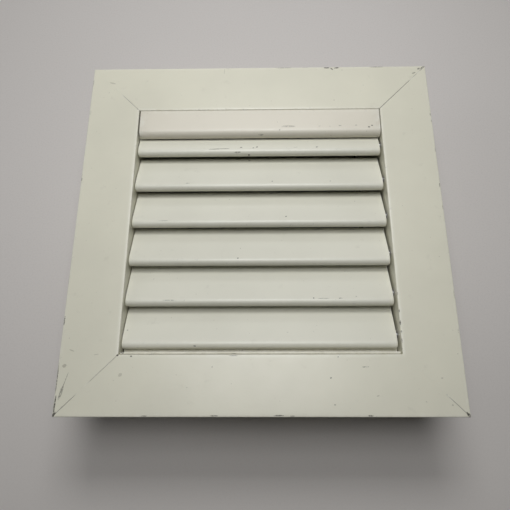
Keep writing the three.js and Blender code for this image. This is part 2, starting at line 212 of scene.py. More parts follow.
def rod(name, start, end, radius, sides=40):
    """A plain round bar between two points, used to cut holes."""
    start, end = Vector(start), Vector(end)
    axis = (end - start).normalized()
    side = axis.orthogonal().normalized()
    other = axis.cross(side)
    sections = []
    for centre in (start, end):
        ring = []
        for i in range(sides):
            t = 2 * math.pi * i / sides
            ring.append(tuple(centre + (side * math.cos(t) + other * math.sin(t)) * radius))
        sections.append(ring)
    return lofted(name, sections)


def turned(name, profile, centre, axis, sides=48):
    """A closed solid turned round an axis.

    The profile is (radius, distance along the axis) in mm, and it starts and ends on the axis.
    """
    axis = Vector(axis).normalized()
    side = axis.orthogonal().normalized()
    other = axis.cross(side)
    centre = Vector(centre)
    verts, rings = [], []
    for radius, along in profile:
        base = centre + axis * (along * MM)
        if radius < 1e-6:
            rings.append([len(verts)])
            verts.append(tuple(base))
            continue
        ring = []
        for i in range(sides):
            t = 2 * math.pi * i / sides
            ring.append(len(verts))
            verts.append(tuple(base + (side * math.cos(t) + other * math.sin(t)) * (radius * MM)))
        rings.append(ring)
    faces = []
    for low, high in zip(rings, rings[1:]):
        for i in range(sides):
            j = (i + 1) % sides
            if len(low) == 1:
                faces.append((low[0], high[i], high[j]))
            elif len(high) == 1:
                faces.append((low[i], low[j], high[0]))
            else:
                faces.append((low[i], low[j], high[j], high[i]))
    return new_object(name, verts, faces)


def put(obj, body, slot, material, *nodes):
    """Gives a new piece its material and its body, and hides the CAD nodes that it stands for. The slot is
    not used.
    """
    obj.data.materials.clear()
    obj.data.materials.append(material)
    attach(obj, body)
    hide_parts(*nodes)
    return obj


# ---------------------------------------------------------------- material helpers
class Nodes:
    """A short way to write a material's node tree."""

    def __init__(self, name):
        self.material = bpy.data.materials.new(name)
        self.material.use_nodes = True
        self.tree = self.material.node_tree
        self.tree.nodes.clear()
        output = self.tree.nodes.new("ShaderNodeOutputMaterial")
        self.shader = self.tree.nodes.new("ShaderNodeBsdfPrincipled")
        self.link(self.shader.outputs[0], output.inputs[0])
        self.coords = self.tree.nodes.new("ShaderNodeTexCoord")
        self.place = self.coords.outputs["Object"]

    def link(self, source, target):
        self.tree.links.new(source, target)

    def put(self, socket, value):
        """Sets or links an input socket."""
        if hasattr(value, "is_output"):
            self.link(value, socket)
        else:
            socket.default_value = value

    def noise(self, scale, detail=3.0, roughness=0.5, stretch=None, seed=0.0):
        """A noise between 0 and 1; scale is in cycles a metre."""
        mapping = self.tree.nodes.new("ShaderNodeMapping")
        mapping.inputs["Location"].default_value = (seed, seed * 0.7, seed * 1.3)
        mapping.inputs["Scale"].default_value = stretch or (1, 1, 1)
        self.link(self.place, mapping.inputs["Vector"])
        texture = self.tree.nodes.new("ShaderNodeTexNoise")
        texture.inputs["Scale"].default_value = scale
        texture.inputs["Detail"].default_value = detail
        texture.inputs["Roughness"].default_value = roughness
        self.link(mapping.outputs[0], texture.inputs["Vector"])
        return texture.outputs["Fac"]

    def math(self, operation, a, b=0.0):
        """A math node's result. Some operations take one value."""
        node = self.tree.nodes.new("ShaderNodeMath")
        node.operation = operation
        self.put(node.inputs[0], a)
        self.put(node.inputs[1], b)
        return node.outputs[0]

    def ramp(self, value, low, high, to_low=0.0, to_high=1.0):
        """Maps low..high smoothly to to_low..to_high, clamped."""
        node = self.tree.nodes.new("ShaderNodeMapRange")
        node.interpolation_type = "SMOOTHSTEP"
        self.put(node.inputs["Value"], value)
        node.inputs["From Min"].default_value = low
        node.inputs["From Max"].default_value = high
        node.inputs["To Min"].default_value = to_low
        node.inputs["To Max"].default_value = to_high
        return node.outputs["Result"]

    def mix(self, factor, a, b):
        """Mixes two colours."""
        node = self.tree.nodes.new("ShaderNodeMix")
        node.data_type = "RGBA"
        self.put(node.inputs["Factor"], factor)
        colours = [s for s in node.inputs if s.type == "RGBA"]
        self.put(colours[0], a)
        self.put(colours[1], b)
        return [s for s in node.outputs if s.type == "RGBA"][0]

    def split(self, vector):
        """The x, y and z of a vector."""
        node = self.tree.nodes.new("ShaderNodeSeparateXYZ")
        self.link(vector, node.inputs[0])
        return node.outputs[0], node.outputs[1], node.outputs[2]

    def attribute(self, name):
        """A mesh attribute's value."""
        node = self.tree.nodes.new("ShaderNodeAttribute")
        node.attribute_name = name
        return node.outputs["Fac"]

    def bump(self, layers):
        """Adds height layers, each (height, distance in metres, strength)."""
        last = None
        for height, distance, strength in layers:
            node = self.tree.nodes.new("ShaderNodeBump")
            node.inputs["Strength"].default_value = strength
            node.inputs["Distance"].default_value = distance
            self.link(height, node.inputs["Height"])
            if last is not None:
                self.link(last, node.inputs["Normal"])
            last = node.outputs[0]
        self.link(last, self.shader.inputs["Normal"])

    def set(self, **values):
        """Sets or links the shader's inputs by name, with _ for a space."""
        for name, value in values.items():
            self.put(self.shader.inputs[name.replace("_", " ")], value)


def srgb(r, g, b):
    """An sRGB colour of 0 to 255 as a linear colour."""
    def linear(c):
        c = c / 255
        return c / 12.92 if c <= 0.04045 else ((c + 0.055) / 1.055) ** 2.4

    return (linear(r), linear(g), linear(b), 1.0)


# ---------------------------------------------------------------- materials
# Off-white satin paint. Its base colour, in sRGB, is what the paint shows in even light.
PAINT = srgb(227, 225, 207)
PAINT_EDGE_SHEEN = srgb(238, 237, 226)  # painted sheen: a lighter colour on sharp edges that stands in for the light they catch, partly paint rubbed thin by handling
PAINT_DULL = srgb(220, 218, 201)
BLADE_PAINT = srgb(225, 224, 210)
BLADE_PAINT_DULL = srgb(219, 218, 204)
STRIP_PAINT = srgb(226, 221, 206)
STRIP_PAINT_DULL = srgb(220, 215, 200)
# painted shade: the sill strip's paint is darker than the other paint, standing in for the shade that falls
# on the sill strip below the lowest blade
SILL_PAINT_SHADED = srgb(214, 211, 194)
SILL_SHADED_PAINT_DULL = srgb(206, 203, 186)
DIRT = srgb(118, 112, 98)
BARE = srgb(150, 150, 148)
DARK = srgb(74, 72, 66)

# Marks of use, in mm from the grille's centre: x, y, length, width, angle in degrees, strength.
# They follow the marks in the photo. Chips show dark metal, and smudges are faint and grey-brown.
CHIPS = [
    (40.8, 99.3, 3.6, 0.9, 0, 1.0),
    (43.8, 98.6, 2.6, 0.8, -40, 1.0),
    (46.8, 99.2, 3.6, 0.9, 8, 1.0),
    (15, 99.6, 11, 0.5, 0, 0.55),
    (28, 99.6, 4, 0.4, 0, 0.35),
    (71, 99.6, 9, 0.55, 0, 0.7),
    (98.2, 99.0, 3.6, 0.7, 42, 0.8),
    (96.0, 98.0, 2.0, 1.3, 30, 0.8),
    (92.7, 95.0, 3.0, 0.8, 22, 0.6),
    (99.4, 66, 2.2, 0.5, 90, 0.7),
    (99.5, 62, 1.6, 0.5, 90, 0.6),
    (99.5, 21, 2.8, 0.6, 88, 0.7),
    (99.6, 43, 3.5, 0.4, 90, 0.4),
    (99.6, 8, 3.0, 0.4, 90, 0.45),
    (99.5, -40, 6, 0.4, 90, 0.35),
    (99.3, -59, 2.8, 0.6, 84, 0.4),
    (-99.6, 90, 5, 0.45, 90, 0.5),
    (-99.6, 26, 2.5, 0.5, 90, 0.6),
    (-99.5, -53.5, 5, 0.7, 88, 0.95),
    (-99.6, -82, 17, 0.55, 90, 0.75),
    (-99.3, -94.5, 10, 0.8, 88, 1.0),
    (-96.2, -85.5, 15, 0.32, 74, 0.8),
    (-97.0, -88.8, 7.5, 1.5, 76, 0.6),
    (-99.2, -98.8, 3.4, 1.4, 60, 1.0),
    (-55.5, -99.5, 3, 0.5, 0, 0.7),
    (-22, -99.4, 4.5, 0.6, 0, 0.7),
    (9, -99.3, 5.5, 0.7, 0, 0.8),
    (15.5, -99.5, 2.6, 0.5, 0, 0.7),
    (52.7, -99.4, 2.6, 0.7, 0, 0.95),
    (99.3, -99.2, 4.0, 1.5, -52, 1.0),
    (51.8, -76.7, 3.6, 0.45, 2, 0.8),
    (34.6, -81.9, 0.9, 0.7, 0, 0.8),
    (35.9, -94.4, 0.9, 0.7, 0, 0.8),
    (38.6, -71.9, 1.0, 0.6, 60, 0.6),
    (-64, -71.4, 1.0, 0.9, 0, 1.0),
    (-13, -71.2, 5, 0.45, 0, 0.55),
    (-70.9, -70.9, 1.2, 1.0, 0, 1.0),
    (70.8, -40, 2.0, 0.5, 90, 0.5),
    (70.8, -49, 1.8, 0.6, 88, 0.8),
    (70.8, -55, 2.4, 0.7, 88, 1.0),
    (70.9, -59.5, 1.4, 0.7, 90, 0.8),
    (70.8, -64, 2.4, 0.5, 90, 0.6),
]
SMUDGES = [
    (-88, 89.8, 4.2, 1.0, -15, 0.3),
    (-96.8, -76, 2.4, 1.8, 20, 0.4),
    (-94, -68.5, 2.8, 0.6, -20, 0.35),
    (-81.5, -70.5, 2.8, 0.5, 10, 0.3),
    (-68.7, -80.4, 2.2, 1.8, 30, 0.3),
    (56.8, -90.3, 1.6, 0.5, 15, 0.45),
    (-20.8, 97.5, 4, 0.45, 88, 0.25),
    (88.5, -82, 1.2, 0.8, 0, 0.35),
    (92, -94.5, 1.2, 0.8, 0, 0.35),
]
BLADE_CHIPS = [
    (-23, 46.0, 13, 0.5, 3, 0.85),
    (-10.4, 47.1, 1.6, 0.7, 20, 0.9),
    (-1.3, 47.4, 1.4, 1.0, 30, 1.0),
    (-3.6, 46.6, 1.6, 0.6, 20, 0.9),
    (-12.5, 43.8, 4, 0.9, 0, 0.6),
    (-5.9, 42.6, 1.4, 0.8, 0, 0.9),
    (21, 46.8, 2.6, 0.4, 5, 0.45),
    (33.2, 47.0, 1.4, 1.0, 30, 1.0),
    (-40.5, 24.4, 3.4, 0.5, 0, 0.65),
    (7.2, 25.5, 1.0, 0.7, 0, 0.7),
    (39.9, 25.3, 1.0, 0.6, 0, 0.6),
    (-52.5, 1.7, 6, 0.45, 0, 0.45),
    (14.6, 4.2, 1.1, 0.8, 0, 0.75),
    (-11.6, -19.9, 1.2, 0.8, 20, 0.75),
    (-47, -42.7, 8, 0.5, 0, 0.6),
    (28, -41.7, 0.9, 0.8, 0, 0.85),
    (33, -41.9, 6, 0.4, 0, 0.7),
    (42, -41.9, 2.2, 0.6, 0, 0.75),
    (-32.9, -66.2, 1.4, 0.8, 0, 0.65),
    (-68.3, -57.8, 0.9, 0.7, 0, 0.7),
]
STRIP_CHIPS = [
    (11.8, 56.8, 0.9, 0.7, 0, 0.7),
    (17, 59.0, 9, 1.3, 0, 0.4),
    (35, 59.0, 1.4, 0.6, 0, 0.45),
    (41, 58.8, 1.2, 0.5, 0, 0.4),
    (46.7, 59.2, 2.0, 0.6, 0, 0.55),
    (56, 59.4, 1.6, 0.6, 0, 0.5),
    (63.4, 58.2, 1.3, 1.0, 0, 1.0),
    (65.2, 59.2, 1.1, 0.8, 0, 1.0),
    (1, 54.6, 3.2, 0.7, 0, 0.5),
]
SILL_CHIPS = [
    (-68.9, -69.4, 2.0, 1.6, 0, 1.0),
    (-13, -70, 4, 0.4, 0, 0.5),
]

# How far each mitre shows, as (from, to, strength): mm outwards from the centre.
# The corners are named by the signs of x and y.
MITRE_SEAMS = {
    (1, 1): [(70, 90, 0.65), (92, 95, 0.4), (96.5, 101, 0.7)],
    (-1, 1): [(70, 81, 0.4)],
    (-1, -1): [(70, 84, 0.35), (90, 101, 0.5)],
    (1, -1): [(91, 101, 0.45)],
}
SEAM_FADE = 1.5


def seam_at(corner, outwards):
    """How open a mitre's seam is at a distance outwards from the centre, from 0 to 1."""
    open_part = 0.0
    for start, end, strength in MITRE_SEAMS[corner]:
        inside = min(outwards - start, end - outwards) / SEAM_FADE + 0.5
        open_part = max(open_part, strength * min(1.0, max(0.0, inside)))
    return open_part


def marks(n, table, broken, lowest):
    """A mask of small oblong marks at the places in the table.

    They are on surfaces that face forwards, above a lowest z.
    Their outlines are ragged; broken ones have gaps.
    """
    x, y, z = n.split(n.place)
    ragged = n.noise(1500, 3, 0.65, seed=3.0)
    total = None
    for cx, cy, length, width, degrees, strength in table:
        c, s = math.cos(math.radians(degrees)), math.sin(math.radians(degrees))
        dx = n.math("SUBTRACT", x, cx * MM)
        dy = n.math("SUBTRACT", y, cy * MM)
        along = n.math("ADD", n.math("MULTIPLY", dx, c), n.math("MULTIPLY", dy, s))
        across = n.math("SUBTRACT", n.math("MULTIPLY", dy, c), n.math("MULTIPLY", dx, s))
        u = n.math("POWER", n.math("ABSOLUTE", n.math("MULTIPLY", along, 2 / (length * MM))), 2)
        v = n.math("POWER", n.math("ABSOLUTE", n.math("MULTIPLY", across, 2 / (width * MM))), 2)
        reach = n.math("ADD", n.math("ADD", u, v), n.math("MULTIPLY", ragged, 1.6))
        mask = n.ramp(reach, 1.9, 1.3, 0.0, strength)
        total = mask if total is None else n.math("MAXIMUM", total, mask)
    if broken:
        gaps = n.ramp(n.noise(1100, 4, 0.75, seed=33.0), 0.40, 0.52, 0.15, 1.0)
        total = n.math("MULTIPLY", total, gaps)
    _, _, facing = n.split(n.coords.outputs["Normal"])
    front = n.math("MULTIPLY", n.ramp(facing, -0.2, 0.1), n.ramp(z, lowest, lowest + 0.4 * MM))
    return n.math("MULTIPLY", total, front)


def seam_mask(n):
    """A mask of the dirt along the parts of the mitres that show."""
    x, y, _ = n.split(n.place)
    ax = n.math("ABSOLUTE", x)
    ay = n.math("ABSOLUTE", y)
    off = n.math("ABSOLUTE", n.math("SUBTRACT", ax, ay))
    line = n.ramp(off, 0.10 * MM, 0.5 * MM, 1.0, 0.0)
    total = None
    for (sign_x, sign_y), seams in MITRE_SEAMS.items():
        here_x = n.math("GREATER_THAN", n.math("MULTIPLY", x, sign_x), 0.0)
        here_y = n.math("GREATER_THAN", n.math("MULTIPLY", y, sign_y), 0.0)
        here = n.math("MULTIPLY", here_x, here_y)
        for start, end, strength in seams:
            rise = n.ramp(ax, (start - SEAM_FADE) * MM, (start + SEAM_FADE) * MM, 0.0, strength)
            fall = n.ramp(ax, (end - SEAM_FADE) * MM, (end + SEAM_FADE) * MM, 1.0, 0.0)
            part = n.math("MULTIPLY", here, n.math("MULTIPLY", rise, fall))
            total = part if total is None else n.math("MAXIMUM", total, part)
    return n.math("MULTIPLY", total, line)


def painted(name, base, dull, rough, chips, smudges=(), mitres=False, lowest=0.0):
    """Satin paint on aluminium: faint mottling, orange peel, dust, a painted sheen on the edges that is
    partly rubbed paint, and marks of use.
    """
    n = Nodes(name)
    cloud = n.noise(14, 4, 0.55, seed=1.0)
    mottle = n.noise(160, 4, 0.6, seed=5.0)
    fine = n.noise(1500, 2, 0.5, seed=9.0)
    colour = n.mix(n.ramp(cloud, 0.35, 0.7), base, dull)
    colour = n.mix(n.ramp(mottle, 0.62, 0.8, 0.0, 0.10), colour, DIRT)
    specks = n.noise(620, 2, 0.4, seed=12.0)
    colour = n.mix(n.ramp(specks, 0.74, 0.80, 0.0, 0.4), colour, DIRT)
    edge = n.attribute("edge")
    # painted sheen: sharp edges are painted lighter in patches, partly for the light they catch and partly
    # for paint rubbed thin
    edge_sheen_and_wear = n.math("MULTIPLY", edge, n.ramp(n.noise(300, 4, 0.65, seed=21.0), 0.3, 0.75))
    colour = n.mix(n.math("MULTIPLY", edge_sheen_and_wear, 0.75), colour, PAINT_EDGE_SHEEN)
    bare = n.math("MULTIPLY", edge, n.ramp(n.noise(260, 5, 0.7, seed=31.0), 0.60, 0.68))
    colour = n.mix(n.math("MULTIPLY", bare, 0.45), colour, BARE)
    if smudges:
        colour = n.mix(marks(n, smudges, False, lowest), colour, DIRT)
    if mitres:
        colour = n.mix(seam_mask(n), colour, DIRT)
    chipped = marks(n, chips, True, lowest)
    colour = n.mix(chipped, colour, DARK)
    orange_peel = n.noise(420, 2, 0.5, seed=15.0)
    hollow = n.math("SUBTRACT", 1.0, chipped)
    n.bump([
        (fine, 0.00003, 0.35),
        (orange_peel, 0.00006, 0.35),
        (cloud, 0.0015, 0.12),
        (hollow, 0.00012, 0.6),
    ])
    n.set(Base_Color=colour, Roughness=n.ramp(mottle, 0.3, 0.7, rough - 0.025, rough + 0.025))
    n.shader.inputs["IOR"].default_value = 1.5
    n.shader.inputs["Coat Weight"].default_value = 0.08
    n.shader.inputs["Coat Roughness"].default_value = 0.3
    return n.material


def metal(name, light, dark, rough, brushed=None, tarnish=0.3):
    """Bare metal with grain, tarnish in patches and small scratches."""
    n = Nodes(name)
    cloud = n.noise(70, 5, 0.6, seed=2.0)
    grain = n.noise(700, 3, 0.6, stretch=brushed, seed=6.0)
    colour = n.mix(n.ramp(cloud, 0.35, 0.7), light, dark)
    colour = n.mix(n.ramp(grain, 0.55, 0.8, 0.0, tarnish), colour, dark)
    n.bump([(grain, 0.00004, 0.4), (cloud, 0.0003, 0.15)])
    n.set(Base_Color=colour, Roughness=n.ramp(cloud, 0.3, 0.7, rough - 0.08, rough + 0.12))
    n.shader.inputs["Metallic"].default_value = 1.0
    return n.material


def moulded(name, light, dark, rough):
    """Moulded nylon: a fine grain, a slight mottle and scuffs."""
    n = Nodes(name)
    cloud = n.noise(90, 4, 0.55, seed=4.0)
    grain = n.noise(2200, 2, 0.5, seed=8.0)
    scuff = n.noise(500, 4, 0.7, stretch=(1, 0.25, 1), seed=14.0)
    colour = n.mix(n.ramp(cloud, 0.3, 0.7), light, dark)
    colour = n.mix(n.ramp(scuff, 0.66, 0.78, 0.0, 0.3), colour, dark)
    n.bump([(grain, 0.00003, 0.4), (scuff, 0.00004, 0.2)])
    n.set(Base_Color=colour, Roughness=n.ramp(cloud, 0.3, 0.7, rough - 0.06, rough + 0.1))
    n.shader.inputs["Subsurface Weight"].default_value = 0.04
    n.shader.inputs["Subsurface Radius"].default_value = (0.001, 0.001, 0.001)
    return n.material


rail_paint = painted("rail_paint", PAINT, PAINT_DULL, 0.31, CHIPS, SMUDGES, True, FACE_Z - 1.4 * MM)
blade_paint = painted("blade_paint", BLADE_PAINT, BLADE_PAINT_DULL, 0.37, BLADE_CHIPS)
strip_paint = painted("strip_paint", STRIP_PAINT, STRIP_PAINT_DULL, 0.42, STRIP_CHIPS)
# painted shade: the sill strip gets the darker sill colours, which stand in for the shade on it
sill_shaded_paint = painted("sill_shaded_paint", SILL_PAINT_SHADED, SILL_SHADED_PAINT_DULL, 0.45, SILL_CHIPS)
cast = metal("cast_aluminium", srgb(176, 178, 180), srgb(128, 129, 130), 0.5)
spring_metal = metal("spring_steel", srgb(176, 176, 180), srgb(118, 116, 116), 0.42, brushed=(0.2, 1, 0.06))
plated = metal("plated_steel", srgb(196, 197, 200), srgb(140, 140, 142), 0.3, brushed=(0.05, 1, 1))
white_nylon = moulded("white_nylon", srgb(228, 226, 216), srgb(206, 202, 188), 0.5)
grey_nylon = moulded("grey_nylon", srgb(138, 137, 131), srgb(118, 117, 111), 0.55)


# ---------------------------------------------------------------- marking edges
def mark_edges(obj):
    """Writes the edge attribute: 1 where the surface turns sharply, 0 on flat stretches."""
    bm = bmesh.new()
    bm.from_mesh(obj.data)
    bm.normal_update()
    values = []
    for vert in bm.verts:
        bend = max((e.calc_face_angle(0) for e in vert.link_edges if len(e.link_faces) == 2), default=0)
        values.append(min(1.0, bend / math.radians(20)))
    bm.free()
    attribute = obj.data.attributes.get("edge") or obj.data.attributes.new("edge", "FLOAT", "POINT")
    attribute.data.foreach_set("value", values)
    return obj


# ---------------------------------------------------------------- frame rails
half_face = HALF_FACE / MM
half_opening = HALF_OPENING / MM
face_z = FACE_Z / MM
groove_inner = half_opening + GROOVE_FROM
groove_outer = half_opening + GROOVE_TO
back = face_z - FLANGE
lip = face_z - LIP_DEPTH
hook_top = lip + HOOK_THICKNESS


def rail_section():
    """The rail's section in mm: distance outwards from the grille's centre, and height."""
    points = [
        (half_opening, 0),
        (half_opening, face_z),
        (half_face, face_z),
        (half_face, lip),
        (half_face - RIB, lip),
        (half_face - RIB, back),
        (groove_outer + RIB, back),
        (groove_outer + RIB, lip),
        (groove_outer - HOOK, lip),
        (groove_outer - HOOK, hook_top),
        (groove_outer, hook_top),
        (groove_outer, back),
        (groove_inner, back),
        (groove_inner, hook_top),
        (groove_inner + HOOK, hook_top),
        (groove_inner + HOOK, lip),
        (groove_inner - RIB, lip),
        (groove_inner - RIB, back),
        (half_opening + WALL, back),
        (half_opening + WALL, 0),
    ]
    radii = {corner: SMALL_ROUND for corner in (0, 3, 4, 7, 8, 15, 16, 19)}
    radii[1] = EDGE_ROUND
    radii[2] = OUTER_ROUND
    return densify(rounded(points, radii, 5), 6.0, face_z, 1.5)


def rail(name, turn):
    """A mitred rail.

    Its ends almost touch at the face where paint fills the mitre, and stand apart elsewhere.
    """
    section = rail_section()

    def ring(end, inset):
        corner = Matrix.Rotation(turn, 2) @ Vector((end, 1))
        signs = (round(corner.x), round(corner.y))
        points = []
        for outwards, height in section:
            gap, drop = MITRE_GAP, 0.0
            if height > face_z - EDGE_ROUND:
                opened = seam_at(signs, outwards)
                gap = FILLED_GAP + (MITRE_GAP - FILLED_GAP) * opened
                drop = MITRE_ROUND * opened if inset == 0.0 and height > face_z - 0.05 else 0.0
            x = end * (outwards - gap - inset)
            points.append((x * MM, outwards * MM, (height - drop) * MM))
        return points

    insets = (0.0, 0.12, 0.8)
    left = [ring(-1, inset) for inset in insets]
    right = [ring(1, inset) for inset in reversed(insets)]
    # stations between the ends keep the long faces even
    spans = 12
    middle = []
    for k in range(1, spans):
        middle.append([tuple(Vector(a).lerp(Vector(b), k / spans)) for a, b in zip(left[-1], right[0])])
    obj = lofted(name + "_painted", left + middle + right)
    obj.data.transform(Matrix.Rotation(turn, 4, "Z"))
    return obj


QUARTER = math.pi / 2
blade_pivots = [PIVOT[f"louvre_{k}_tilt"] for k in range(1, BLADES + 1)]


def drill(obj, places, radius, direction):
    """Round holes through a rail's neck wall or a strip.

    Places are points on its inner side, and direction points outwards.
    """
    direction = Vector(direction)
    cutters = []
    for place in places:
        start = Vector(place) - direction * 2 * MM
        end = Vector(place) + direction * 4 * MM
        cutters.append(rod("drill", start, end, radius * MM))
    return cut(obj, cutters)


head_rivets = [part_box("head_rivet_left"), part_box("head_rivet_right")]
sill_rivets = [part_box("sill_rivet_left"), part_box("sill_rivet_right")]
spring_rivets = {}
for hand in ("left", "right"):
    for height in ("upper", "lower"):
        low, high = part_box(f"spring_rivet_{hand}_{height}")
        spring_rivets[hand, height] = (low + high) / 2


def middle_of(box):
    """The middle of a box given by its lowest and highest corners."""
    return (box[0] + box[1]) / 2


RAILS = [
    ("rail_top", 0.0, (0, 1, 0)),
    ("rail_bottom", 2 * QUARTER, (0, -1, 0)),
    ("rail_left", QUARTER, (-1, 0, 0)),
    ("rail_right", -QUARTER, (1, 0, 0)),
]
for name, turn, outwards in RAILS:
    obj = rail(name, turn)
    if name in ("rail_top", "rail_bottom"):
        side = 1 if name == "rail_top" else -1
        rivets = head_rivets if side > 0 else sill_rivets
        places = [(middle_of(b).x, side * HALF_OPENING, middle_of(b).z) for b in rivets]
        drill(obj, places, RIVET_HOLE_RADIUS, outwards)
    else:
        side = -1 if name == "rail_left" else 1
        hand = "left" if side < 0 else "right"
        drill(obj, [(side * HALF_OPENING, p.y, p.z) for p in blade_pivots], BUSH_HOLE_RADIUS, outwards)
        spots = [spring_rivets[hand, height] for height in ("upper", "lower")]
        drill(obj, [(side * HALF_OPENING, p.y, p.z) for p in spots], RIVET_HOLE_RADIUS, outwards)
    smooth(obj, 40)
    mark_edges(obj)
    put(obj, "frame", "paint", rail_paint, name)

# ---------------------------------------------------------------- blades
blade_points = arc(-NOSE_REACH, 0, NOSE_RADIUS, 90, 270, 28)
blade_points.append((BELLY_END, -NOSE_RADIUS))
tail_round = TAIL_THICKNESS / 2
belly_slope = (2 * NOSE_RADIUS - TAIL_THICKNESS) / (TAIL_REACH - tail_round - BELLY_END)


def belly_at(y):
    """The blade's underside at a distance along its chord."""
    return -NOSE_RADIUS + (y - BELLY_END) * belly_slope


# the T-shaped rib that the link clip slides on to
RIB_Y = 11.0
RIB_HALF_STEM = 0.4
RIB_HALF_HEAD = 1.0
RIB_HEAD = 0.7
RIB_DROP = 2.4
rib_bottom = belly_at(RIB_Y) - RIB_DROP
blade_points += [
    (RIB_Y - RIB_HALF_STEM, belly_at(RIB_Y - RIB_HALF_STEM)),
    (RIB_Y - RIB_HALF_STEM, rib_bottom + RIB_HEAD),
    (RIB_Y - RIB_HALF_HEAD, rib_bottom + RIB_HEAD),
    (RIB_Y - RIB_HALF_HEAD, rib_bottom),
    (RIB_Y + RIB_HALF_HEAD, rib_bottom),
    (RIB_Y + RIB_HALF_HEAD, rib_bottom + RIB_HEAD),
    (RIB_Y + RIB_HALF_STEM, rib_bottom + RIB_HEAD),
    (RIB_Y + RIB_HALF_STEM, belly_at(RIB_Y + RIB_HALF_STEM)),
]
blade_points += arc(TAIL_REACH - tail_round, NOSE_RADIUS - tail_round, tail_round, -90, 90, 8)
OUTLINE_STEP = 3.0  # the longest straight stretch of an outline, in mm
BLADE_OUTLINE = densify(blade_points, OUTLINE_STEP)


def shrink(points, amount):
    """Moves a closed outline inwards."""
    out = []
    for i, p in enumerate(points):
        here = Vector(p)
        before = (here - Vector(points[i - 1])).normalized()
        after = (Vector(points[(i + 1) % len(points)]) - here).normalized()
        tangent = (before + after).normalized()
        inward = Vector((tangent.y, -tangent.x))
        out.append(tuple(here + inward * amount))
    return out


def outline_turns_left(points):
    """Whether a closed outline runs anticlockwise."""
    area = sum(points[i - 1][0] * p[1] - p[0] * points[i - 1][1] for i, p in enumerate(points))
    return area > 0


if outline_turns_left(BLADE_OUTLINE):
    BLADE_OUTLINE.reverse()


def blade(number, pivot):
    """A blade with a round nose and slightly rounded ends, at its rest slope."""
    low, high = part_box(f"blade_{number}")
    start, end = low.x / MM, high.x / MM
    c, s = math.cos(-REST_SLOPE), math.sin(-REST_SLOPE)

    def end_inset(along, radius):
        """How far a rounded end draws the section in, at a distance from the end."""
        return radius - math.sqrt(max(0.0, radius * radius - (radius - min(along, radius)) ** 2))

    def ring(x):
        along = min(x - start, end - x)
        flat_inset = end_inset(along, BLADE_END_ROUND)
        nose_inset = end_inset(along, NOSE_END_ROUND)
        points = []
        for y, z in shrink(BLADE_OUTLINE, flat_inset):
            if y < -NOSE_REACH + NOSE_RADIUS:
                # the round nose draws in towards its own centre
                pull = min(1.0, (-NOSE_REACH + NOSE_RADIUS - y) / NOSE_RADIUS)
                extra = max(0.0, nose_inset - flat_inset) * pull
                away = Vector((y + NOSE_REACH, z))
                if away.length > extra:
                    away = away.normalized() * (away.length - extra)
                y, z = away.x - NOSE_REACH, away.y
            points.append((x * MM, pivot.y + (y * c - z * s) * MM, pivot.z + (y * s + z * c) * MM))
        return points

    # sections stand close together where the ends are rounded
    steps = (0.0, 0.03, 0.08, 0.16, 0.22, 0.32, 0.5, NOSE_END_ROUND)
    sections = [ring(start + along) for along in steps]
    spans = 27
    for k in range(1, spans):
        flat = end - start - 2 * NOSE_END_ROUND
        sections.append(ring(start + NOSE_END_ROUND + flat * k / spans))
    sections += [ring(end - along) for along in reversed(steps)]
    obj = lofted(f"louvre_blade_{number}", sections)
    through = [Vector((x * MM, pivot.y, pivot.z)) for x in (2 * start, 2 * end)]
    port = rod("port", through[0], through[1], SPINDLE_PORT_RADIUS * MM)
    cut(obj, [port])
    smooth(obj, 38)
    mark_edges(obj)
    return put(obj, f"louvre_{number}", "paint", blade_paint, f"blade_{number}")


for number, pivot in enumerate(blade_pivots, 1):
    blade(number, pivot)

# ---------------------------------------------------------------- head strip and sill strip
strip_edge = half_opening - STRIP_GAP
nose_y = strip_edge - HEAD_DROP
nose_z = face_z - HEAD_NOSE_RADIUS


def strip(name, outline, radii, rivets, side, material, node):
    """A bent sheet strip along X with softened edges and rivet holes."""
    low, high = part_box(node)
    start, end = low.x / MM, high.x / MM
    outline = densify(rounded(outline, radii, 4), OUTLINE_STEP)
    if outline_turns_left(outline):
        outline.reverse()

    def ring(x, inset):
        return [(x * MM, y * MM, z * MM) for y, z in shrink(outline, inset)]

    # near each end, the distance from it and how far the section draws in
    ends = [(0.0, 0.12), (0.06, 0.03), (0.15, 0.0)]
    softened = ends[-1][0]
    sections = [ring(start + along, inset) for along, inset in ends]
    spans = 24
    for k in range(1, spans):
        sections.append(ring(start + softened + (end - start - 2 * softened) * k / spans, 0.0))
    sections += [ring(end - along, inset) for along, inset in reversed(ends)]
    obj = lofted(name, sections)
    places = [(middle_of(b).x, side * (strip_edge - STRIP) * MM, middle_of(b).z) for b in rivets]
    drill(obj, places, RIVET_HOLE_RADIUS, (0, side, 0))
    smooth(obj, 40)
    mark_edges(obj)
    return put(obj, "frame", "paint", material, node)


